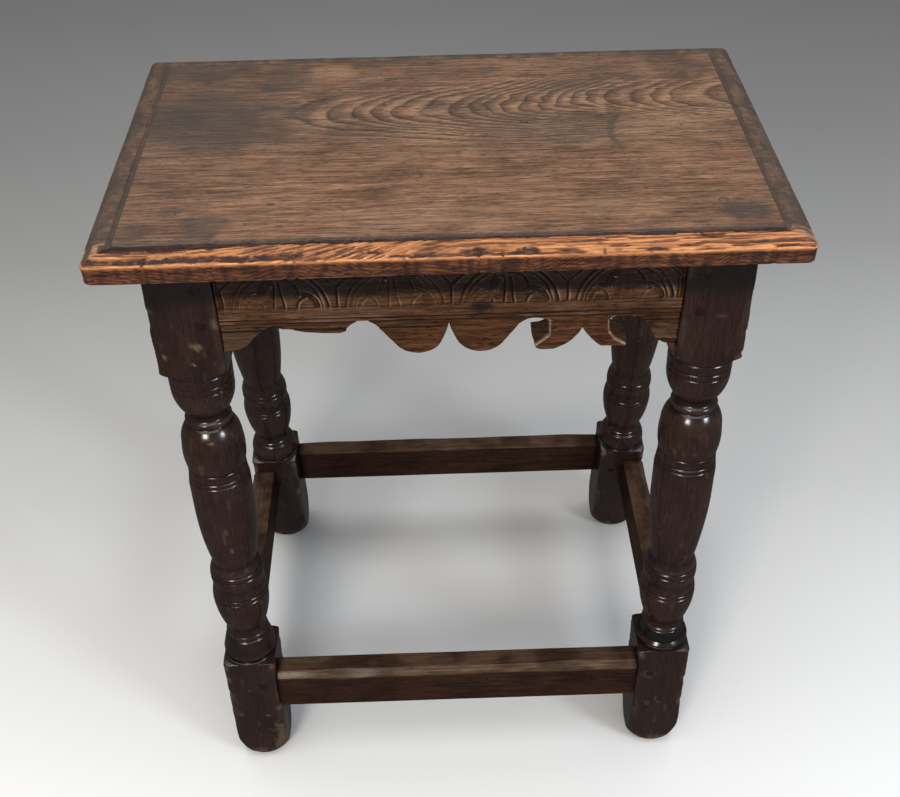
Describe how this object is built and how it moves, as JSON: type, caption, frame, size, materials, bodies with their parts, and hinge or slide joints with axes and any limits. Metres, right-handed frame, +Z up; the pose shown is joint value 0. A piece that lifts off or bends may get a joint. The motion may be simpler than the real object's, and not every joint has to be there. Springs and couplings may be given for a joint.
{
  "type": "joint stool",
  "caption": "Joint stool: moulded oak board pegged to raked, turned baluster legs, with lunette-carved front rail, scrolled apron and low box stretchers.",
  "frame": {"origin": "on the floor, under the middle of the board", "axes": "+Z up; +X to the right along the long side; -Y is the front with the carved rail"},
  "size_m": [0.461, 0.3126, 0.55],
  "materials": {
    "oak_top": "worn grey-brown oak, waxed, satin",
    "oak_dark": "very dark brown oak, polished by handling",
    "oak_rail": "dark brown oak, waxed, satin",
    "oak_peg": "dark end grain"
  },
  "bodies": {
    "root": {"top_board": "oak_top", "leg_front_left": "oak_dark", "leg_front_right": "oak_dark", "leg_back_left": "oak_dark", "leg_back_right": "oak_dark", "rail_front": "oak_rail", "rail_back": "oak_rail", "rail_left": "oak_rail", "rail_right": "oak_rail", "stretcher_front": "oak_dark", "stretcher_back": "oak_dark", "stretcher_left": "oak_dark", "stretcher_right": "oak_dark", "pegs_top": "oak_peg", "pegs_rail_front": "oak_peg", "pegs_rail_back": "oak_peg", "pegs_rail_left": "oak_peg", "pegs_rail_right": "oak_peg", "pegs_stretcher_front": "oak_peg", "pegs_stretcher_back": "oak_peg", "pegs_stretcher_left": "oak_peg", "pegs_stretcher_right": "oak_peg"}
  },
  "joints": []
}
